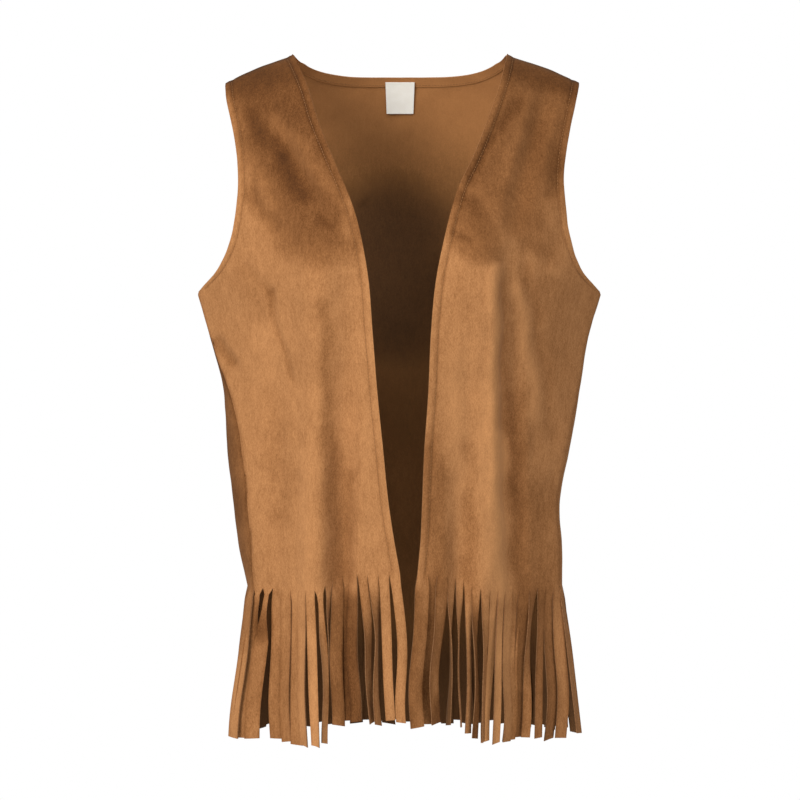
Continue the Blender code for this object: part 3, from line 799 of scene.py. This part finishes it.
def edge_loop(faces):
    """Edges that belong to one face only, in that face's order."""
    edges = {(f[i - 1], f[i]) for f in faces for i in range(len(f))}
    return sorted((a, b) for a, b in edges if (b, a) not in edges)


def new_object(name, data):
    """A new object in the scene."""
    made = bpy.data.objects.new(name, data)
    bpy.context.scene.collection.objects.link(made)
    return made


def mesh_object(name, points, faces, materials, slots=None):
    """A smooth-shaded object with its faces' materials."""
    mesh = bpy.data.meshes.new(name)
    mesh.from_pydata(np.asarray(points).tolist(), [], faces)
    for finish in materials:
        mesh.materials.append(finish)
    if slots is not None:
        mesh.polygons.foreach_set("material_index", slots)
    mesh.shade_smooth()
    mesh.set_sharp_from_angle(angle=SHARP)
    made = new_object(name, mesh)
    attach(made, "root")
    return made


def set_tone(made, tone):
    """Stores the tone at each point of a mesh: how light its nap is brushed, with painted light and
    shade.
    """
    layer = made.data.attributes.new("tone", "FLOAT", "POINT")
    layer.data.foreach_set("value", np.asarray(tone, np.float32))


def shell(name, points, normal, faces, between, materials, is_cut, tone):
    """A closed thin sheet: its outer face, its inner face and the rim between them."""
    count = len(points)
    inner, outer = (points + away * normal for away in between)
    rim = edge_loop(faces)
    sides = [tuple(reversed(f)) for f in faces]
    sides += [tuple(count + i for i in f) for f in faces]
    sides += [(a, b, count + b, count + a) for a, b in rim]
    slots = [OUTSIDE] * len(faces) + [INSIDE] * len(faces)
    slots += [CUT if is_cut[a] and is_cut[b] else OUTSIDE for a, b in rim]
    made = mesh_object(name, np.concatenate((outer, inner)), sides, materials, slots)
    # The inner face takes the inside's painted light and shade.
    set_tone(made, np.concatenate((tone, marked("inside", points, "tone"))))
    return made


def strip_rows(root, outward, strip, lap, apart, draw):
    """Rows of points of one strip below its root, and the way that each row faces.

    A lap of 1 or -1 lays a strip over or under its neighbours, and a lap of 0 leaves slits.
    """
    start, end = root[0], root[-1]
    along = (end - start) * (1, 1, 0)
    width = np.linalg.norm(along)
    along /= width
    side = outward * np.array((along[1], -along[0], 0))
    across = np.linspace(-1, 1, STRIP_COLUMNS + 1)
    level_root = (start + end) / 2 + np.outer(across * width / 2, along)
    sizes = (STRIP_WAVE, STRIP_SWING, STRIP_TWIST, STRIP_CURL, TIP_SLANT)
    wave, swing, twist, curl, slant = draw.uniform(-1, 1, len(sizes)) * sizes
    phase = WAVE_PACE * start[0] if lap else draw.uniform(0, math.tau)
    swing = STRIP_SWING if lap else swing
    widen = STRIP_LAP + FLARE_LAP * abs(strip.out) if lap else -SLIT_HALF
    rows, facings = [], []
    for k in range(1, STRIP_ROWS + 1):
        step = k / STRIP_ROWS
        bend = ease(step) * math.sin(math.tau * step + phase)
        halfway = math.sin(math.pi * step**PART_POWER) ** 2
        turn = strip.turn * ease(step / TURN_SHARE) + apart.twist * halfway
        angle = math.radians(turn + (0 if lap else twist) * bend)
        middle = (start + end) / 2 + (along * strip.sway + side * strip.out) * step**HANG_POWER
        middle += side * (wave * bend + lap * LAP_DEPTH * ease(step / WAIST_STEP))
        middle += along * (swing * bend + apart.aside * halfway)
        middle[2] -= (TIP_DROP - SLIT_DROP - strip.trim) * step
        broad = math.cos(angle) * along + math.sin(angle) * side
        facing = outward * np.array((broad[1], -broad[0], 0))
        drawn_in = apart.pinch * math.sin(math.pi * min(step / PINCH_SHARE, 1) ** PINCH_SKEW)
        half = width / 2 + widen * ease(step / WAIST_STEP) - drawn_in
        row = middle + np.outer(half * across, broad)
        row += np.outer(curl * ease(step / CURL_SHARE) * (across**2 - CURL_MEAN), facing)
        row[:, 2] -= slant * across * step
        row += (root - level_root) * (1 - ease(step / ROOT_FADE))
        rows.append(row)
        facings.append(np.tile(facing, (len(across), 1)))
    return rows, facings


def strip_tone(own, draw):
    """Tone of a strip's points: its random tone, its painted light and shade, which sets in below its
    root, and painted shade along its edges.
    """
    edge = STRIP_EDGE_SHADE * np.linspace(-1, 1, STRIP_COLUMNS + 1) ** EDGE_TONE_POWER
    shade = draw.uniform(-STRIP_TONE, STRIP_TONE) + own * ease(np.arange(STRIP_ROWS) / ROOT_ROWS)
    return (edge + shade[:, None]).ravel()


def cloth_piece(name, panel, materials, draw):
    """A panel with its fringe as one piece of cloth; gives its grid, normals and object."""
    grid, normal, sewn_tone = panel_grid(panel)
    points, facing, tone = [grid.reshape(-1, 3)], [normal.reshape(-1, 3)], [sewn_tone.ravel()]
    numbers = np.arange(sewn_tone.size).reshape(sewn_tone.shape)
    faces = grid_faces(numbers, panel.outward)
    made = numbers.size
    for i, strip in enumerate(panel.strips):
        span = np.arange(i * STRIP_COLUMNS, (i + 1) * STRIP_COLUMNS + 1)
        apart = APART[panel.key].get(i, LAPPED)
        lap = (-1) ** i if apart.laps else 0
        rows, facings = strip_rows(grid[-1, span], panel.outward, strip, lap, apart, draw)
        points += rows
        facing += facings
        # The strip's painted light and shade.
        tone.append(strip_tone(STRIP_LIGHT_AND_SHADE[panel.key].get(i, 0), draw))
        own = made + np.arange(STRIP_ROWS * len(span)).reshape(STRIP_ROWS, -1)
        faces += grid_faces(np.vstack((numbers[-1, span], own)), panel.outward)
        made += own.size
    points, facing = np.concatenate(points), np.concatenate(facing)
    # Nap marks and painted light and shade on the panel's outside.
    tone = np.concatenate(tone) + marked(panel.key, points, "tone")
    is_cut = np.arange(len(points)) >= numbers[-1, 0]
    cloth = shell(name, points, facing, faces, CLOTH_FACES, materials, is_cut, tone)
    return grid, normal, cloth


def inner_sheet(name, grid, normal, outward, between, materials):
    """A thin piece on the wearer's side of a panel, made from the panel's own points."""
    points, facing = grid.reshape(-1, 3), normal.reshape(-1, 3)
    faces = grid_faces(np.arange(len(points)).reshape(grid.shape[:2]), outward)
    is_cut = np.ones(len(points), bool)
    tone = np.zeros(len(points))
    made = shell(name, points, facing, faces, between, materials, is_cut, tone)
    return made


# Topstitching


def one_stitch():
    """Faces of one stitch, whose points are numbered ring by ring."""
    size = len(STITCH_RINGS) * THREAD_SIDES
    faces = [tuple(range(THREAD_SIDES))[::-1], tuple(range(size - THREAD_SIDES, size))]
    for ring in range(0, size - THREAD_SIDES, THREAD_SIDES):
        for i in range(THREAD_SIDES):
            a, b = ring + i, ring + (i + 1) % THREAD_SIDES
            faces.append((a, b, b + THREAD_SIDES, a + THREAD_SIDES))
    return size, faces


def stitch_line(line, facing):
    """Points and faces of a row of stitches along a line that lies on the cloth."""
    length = lengths(line)
    centres = np.arange(STITCH_PITCH, length[-1] - STITCH_PITCH, STITCH_PITCH)
    read = partial(read_line, centres, length)
    middle, up = read(line), unit(read(facing))
    run = unit(read(np.gradient(line, length, axis=0)))
    aside = np.cross(run, up)
    turns = (np.arange(THREAD_SIDES) * math.tau / THREAD_SIDES)[:, None, None]
    round_it = np.cos(turns) * aside + np.sin(turns) * up
    points = [
        middle + along * STITCH_LENGTH * run + THREAD_RADIUS * radius * round_it
        for along, radius in STITCH_RINGS
    ]
    points = np.stack(points).transpose(2, 0, 1, 3)
    size, stitch = one_stitch()
    faces = [tuple(s * size + v for v in f) for s in range(len(centres)) for f in stitch]
    return points.reshape(-1, 3), faces


def stitching(name, seams, finish):
    """All rows of topstitching on a panel as one piece."""
    points, faces, count = [], [], 0
    for line, facing in seams:
        made, sides = stitch_line(line, facing)
        points.append(made)
        faces += [tuple(count + v for v in f) for f in sides]
        count += len(made)
    made = mesh_object(name, np.concatenate(points), faces, [finish])
    return made


def both_faces(grid, normal):
    """A stitch line on the outside of the cloth and on the inside of its hem."""
    return [(grid + CLOTH_FACES[1] * normal, normal), (grid + HEM_FACES[0] * normal, -normal)]


# Materials


def set_inputs(node, values):
    """Sets constants on a node's own sockets."""
    for socket, value in values.items():
        node.inputs[socket].default_value = value


def new_material(name, values):
    """A new material with its node tree and its shader, which has the given constants."""
    made = bpy.data.materials.new(name)
    made.use_nodes = True
    shader = made.node_tree.nodes["Principled BSDF"]
    set_inputs(shader, values)
    return made, made.node_tree, shader


def sheen_material(name, surface):
    """A new material with cloth sheen."""
    return new_material(name, {
        "Roughness": surface.roughness,
        "Specular IOR Level": SPECULAR,
        "Sheen Weight": surface.sheen,
        "Sheen Roughness": SHEEN_ROUGHNESS,
        "Sheen Tint": surface.tint,
    })


def object_noise(tree, scale, detail, stretch=(1, 1, 1)):
    """Noise fixed to the garment, with its scale in lumps to the metre."""
    place = tree.nodes.new("ShaderNodeTexCoord")
    mapping = tree.nodes.new("ShaderNodeMapping")
    set_inputs(mapping, {"Scale": stretch})
    texture = tree.nodes.new("ShaderNodeTexNoise")
    set_inputs(texture, {"Scale": scale, "Detail": detail})
    tree.links.new(place.outputs["Object"], mapping.inputs["Vector"])
    tree.links.new(mapping.outputs["Vector"], texture.inputs["Vector"])
    return texture.outputs["Fac"]


def math_node(tree, operation, first, second):
    """The result of an operation on two values, each a number or another node's result."""
    node = tree.nodes.new("ShaderNodeMath")
    node.operation = operation
    for socket, value in zip(node.inputs, (first, second)):
        if isinstance(value, (int, float)):
            socket.default_value = value
        else:
            tree.links.new(value, socket)
    return node.outputs["Value"]


def around_zero(tree, value, size):
    """Noise shifted to run from -size to +size about its middle."""
    return math_node(tree, "MULTIPLY", math_node(tree, "SUBTRACT", value, NOISE_MIDDLE), 2 * size)


def paint(tree, shader, value, stops):
    """Colours a shader by a value that runs from dark to light."""
    ramp = tree.nodes.new("ShaderNodeValToRGB")
    tree.links.new(value, ramp.inputs["Fac"])
    tree.links.new(ramp.outputs["Color"], shader.inputs["Base Color"])
    elements = ramp.color_ramp.elements
    for place, _ in stops[1:-1]:
        elements.new(place)
    for element, (place, colour) in zip(elements, stops):
        element.position = place
        element.color = (*colour, 1)


def bump(tree, shader, value, distance, strength):
    """Lets a value raise the surface of a shader a little."""
    node = tree.nodes.new("ShaderNodeBump")
    set_inputs(node, {"Distance": distance, "Strength": strength})
    tree.links.new(value, node.inputs["Height"])
    tree.links.new(node.outputs["Normal"], shader.inputs["Normal"])


def suede(name, surface, middle, coarse):
    """Brushed nap, light where it lies towards the light and dark where it lies away, with painted
    light and shade from the tone.
    """
    made, tree, shader = sheen_material(name, surface)
    # Tone of brushed nap and painted light and shade.
    nap_and_shade = tree.nodes.new("ShaderNodeAttribute")
    nap_and_shade.attribute_name = "tone"
    grain = 0.0
    for layer in NAP_NOISES:
        lumps = object_noise(tree, layer.scale, layer.detail, layer.stretch)
        grain = math_node(tree, "ADD", around_zero(tree, lumps, coarse * layer.share), grain)
    calm = math_node(tree, "ABSOLUTE", nap_and_shade.outputs["Fac"], 0.0)
    strength = math_node(tree, "SUBTRACT", 1.0, math_node(tree, "MULTIPLY", calm, NAP_CALM))
    tone = math_node(tree, "ADD", nap_and_shade.outputs["Fac"], middle)
    tone = math_node(tree, "ADD", tone, math_node(tree, "MULTIPLY", grain, strength))
    paint(tree, shader, tone, surface.stops)
    bump(tree, shader, object_noise(tree, *NAP_GRAIN), *NAP_BUMP)
    return made


def cut_edge():
    """The raw edge of the cloth, where its paler ground shows."""
    made, tree, shader = sheen_material("cut_edge", CUT_EDGE)
    fibres = object_noise(tree, *EDGE_FIBRES)
    paint(tree, shader, fibres, CUT_EDGE.stops)
    bump(tree, shader, fibres, *EDGE_BUMP)
    return made


def thread():
    """Matching sewing thread with a twist."""
    made, tree, shader = sheen_material("thread", THREAD)
    paint(tree, shader, object_noise(tree, *THREAD_TWIST), THREAD.stops)
    return made


def label_cloth():
    """Plain cream label with a fine weave."""
    made, tree, shader = sheen_material("label_cloth", LABEL)
    place = tree.nodes.new("ShaderNodeTexCoord")
    weave = 1.0
    for direction in ("X", "Z"):
        wave = tree.nodes.new("ShaderNodeTexWave")
        wave.bands_direction = direction
        set_inputs(wave, {"Scale": LABEL_WEAVE})
        tree.links.new(place.outputs["Object"], wave.inputs["Vector"])
        weave = math_node(tree, "MULTIPLY", wave.outputs["Fac"], weave)
    slubs = around_zero(tree, object_noise(tree, *LABEL_SLUBS), LABEL_UNEVEN)
    paint(tree, shader, math_node(tree, "ADD", slubs, weave), LABEL.stops)
    bump(tree, shader, weave, *LABEL_BUMP)
    return made


# Pieces


def back_strips():
    """Gentle, uneven hang of the back's strips; those at the sides stand out most."""
    strips = []
    for i in range(BACK_STRIPS):
        side = abs(2 * (i + 0.5) / BACK_STRIPS - 1)
        sway = BACK_SWAY * math.sin(SWAY_PACE * i)
        turn = BACK_TURN * math.sin(TURN_PACE * i + TURN_SHIFT)
        flare = BACK_FLARE + SIDE_FLARE * side**SIDE_FLARE_POWER
        out = flare + BACK_OUT * math.sin(OUT_PACE * i + OUT_SHIFT)
        trim = BACK_TRIM + BACK_TRIM_UNEVEN * math.sin(TRIM_PACE * i)
        strips.append(Strip(sway, turn, out, trim))
    return strips


def armhole_rows():
    """Rows of a panel that carry an armhole's hem."""
    return slice(HEM_TOP_ROW, int(np.searchsorted(levels(), UNDERARM_DROP - HEM_WIDTH)))


def hem_columns(first):
    """Columns of the hem at a panel's first or last edge, and the column of its stitching."""
    if first:
        return slice(0, HEM_COLUMNS), STITCH_COLUMN
    return slice(-HEM_COLUMNS, None), -1 - STITCH_COLUMN


def turned_hem(node, grid, normal, rows, columns, outward, finishes):
    """A turned hem on the given rows and columns of a panel."""
    hem = inner_sheet(
        node + "_cloth", grid[rows, columns], normal[rows, columns], outward,
        HEM_FACES, finishes,
    )
    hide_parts(node)
    return hem


def edge_hem(node, grid, normal, rows, first, outward, finishes):
    """A turned hem along the first or last edge of a panel, and the lines of its stitching."""
    columns, stitched = hem_columns(first)
    hem = turned_hem(node, grid, normal, rows, columns, outward, finishes)
    return hem, both_faces(grid[rows, stitched], normal[rows, stitched])


def front(side, finishes, yarn, draw):
    """One front with its fringe, its two turned hems and their topstitching."""
    outward = SIDE_SIGN[side]
    panel = Panel(side, partial(front_row, side), outward, STRIPS[side], (True, False), 0)
    grid, normal, cloth = cloth_piece("front_" + side + "_cloth", panel, finishes, draw)
    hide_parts("front_" + side, "fringe_front_" + side)
    edge, edge_seams = edge_hem(
        "edge_hem_" + side, grid, normal, slice(HEM_TOP_ROW, None), True, outward, finishes,
    )
    arm, arm_seams = edge_hem(
        "armhole_hem_front_" + side, grid, normal, armhole_rows(), False, outward, finishes,
    )
    sewing = stitching("topstitching_front_" + side, edge_seams + arm_seams, yarn)


def label(outward, finish):
    """The bare label inside the back neck."""
    across = np.linspace(-LABEL_WIDTH / 2, LABEL_WIDTH / 2, LABEL_ROWS)
    grid = []
    for share in np.linspace(0, 1, LABEL_ROWS):
        row = back_row(LABEL_LEVEL + LABEL_LENGTH * share)
        tapered = across * (1 - LABEL_TAPER * share)
        grid.append(read_line(tapered, row[:, 0], row))
    grid = np.array(grid)
    made = inner_sheet(
        "neck_label_cloth", grid, normals(grid, outward), outward,
        LABEL_FACES, [finish] * 3,
    )
    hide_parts("neck_label")


def back(finishes, yarn, label_finish, draw):
    """The back with its fringe, its turned hems, their topstitching and the label."""
    outward = -1
    panel = Panel("back", back_row, outward, back_strips(), (False, False), NECK_STRIP)
    grid, normal, cloth = cloth_piece("back_cloth", panel, finishes, draw)
    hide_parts("back", "fringe_back")
    hems, seams = [], []
    for side in SIDE_SIGN:
        hem, lines = edge_hem(
            "armhole_hem_back_" + side, grid, normal, armhole_rows(), side == "left", outward, finishes,
        )
        hems.append(hem)
        seams += lines
    last = int(np.searchsorted(levels(), HEM_WIDTH))
    span = slice(NECK_STRIP * STRIP_COLUMNS + 1, (BACK_STRIPS - NECK_STRIP) * STRIP_COLUMNS)
    hem = turned_hem("neck_hem", grid, normal, slice(last + 1), span, outward, finishes)
    seams += both_faces(grid[last - 1, span], normal[last - 1, span])
    sewing = stitching("topstitching_back", seams, yarn)
    label(outward, label_finish)


# Studio


def area_light(light):
    """A soft box that looks at the middle of the garment."""
    box = bpy.data.lights.new(light.name, "AREA")
    box.shape = "RECTANGLE"
    box.size, box.size_y = light.size
    box.energy = light.power
    box.color = light.colour
    made = new_object(light.name, box)
    made.location = light.place
    look = Vector(LIGHT_AIM) - Vector(light.place)
    made.rotation_euler = look.to_track_quat("-Z", "Y").to_euler()


def white_world():
    """A white background for the camera that adds only a little light of its own."""
    world = bpy.data.worlds.new("studio")
    world.use_nodes = True
    bpy.context.scene.world = world
    tree = world.node_tree
    light = tree.nodes["Background"]
    seen = tree.nodes.new("ShaderNodeBackground")
    for background, strength in ((light, WORLD_LIGHT), (seen, WORLD_SEEN)):
        set_inputs(background, {"Color": WHITE, "Strength": strength})
    path = tree.nodes.new("ShaderNodeLightPath")
    either = tree.nodes.new("ShaderNodeMixShader")
    tree.links.new(path.outputs["Is Camera Ray"], either.inputs["Fac"])
    tree.links.new(light.outputs["Background"], either.inputs[1])
    tree.links.new(seen.outputs["Background"], either.inputs[2])
    tree.links.new(either.outputs["Shader"], tree.nodes["World Output"].inputs["Surface"])


def floor():
    """A plain pale floor well below the garment."""
    corners = [(x, y, -FLOOR_DROP) for x, y in ((-1, -1), (1, -1), (1, 1), (-1, 1))]
    points = np.array(corners) * (FLOOR_HALF, FLOOR_HALF, 1)
    mesh = bpy.data.meshes.new("floor")
    mesh.from_pydata(points.tolist(), [], [(0, 1, 2, 3)])
    finish = new_material("floor", {"Base Color": FLOOR_COLOUR, "Roughness": FLOOR_ROUGHNESS})[0]
    mesh.materials.append(finish)
    new_object("floor", mesh)


def camera():
    """A level camera in front of the garment."""
    lens = bpy.data.cameras.new("camera")
    lens.lens = lens.sensor_width * VIEW_DISTANCE / VIEW_WIDTH
    made = new_object("camera", lens)
    made.location = (0, -VIEW_DISTANCE, -VIEW_DROP)
    made.rotation_euler = (math.pi / 2, 0, 0)
    bpy.context.scene.camera = made


def studio():
    """Background, floor, camera and soft light."""
    white_world()
    floor()
    camera()
    for light in LIGHTS:
        area_light(light)
    bpy.context.scene.view_settings.view_transform = "Standard"


def build():
    """The whole garment in its studio."""
    outside = suede("suede", NAP, NAP_MIDDLE, 1.0)
    inside = suede("suede_inside", INSIDE_NAP, INSIDE_MIDDLE, INSIDE_NOISE)
    finishes = [outside, inside, cut_edge()]
    yarn = thread()
    draw = np.random.default_rng(SEED)
    back(finishes, yarn, label_cloth(), draw)
    for side in SIDE_SIGN:
        front(side, finishes, yarn, draw)
    studio()


build()
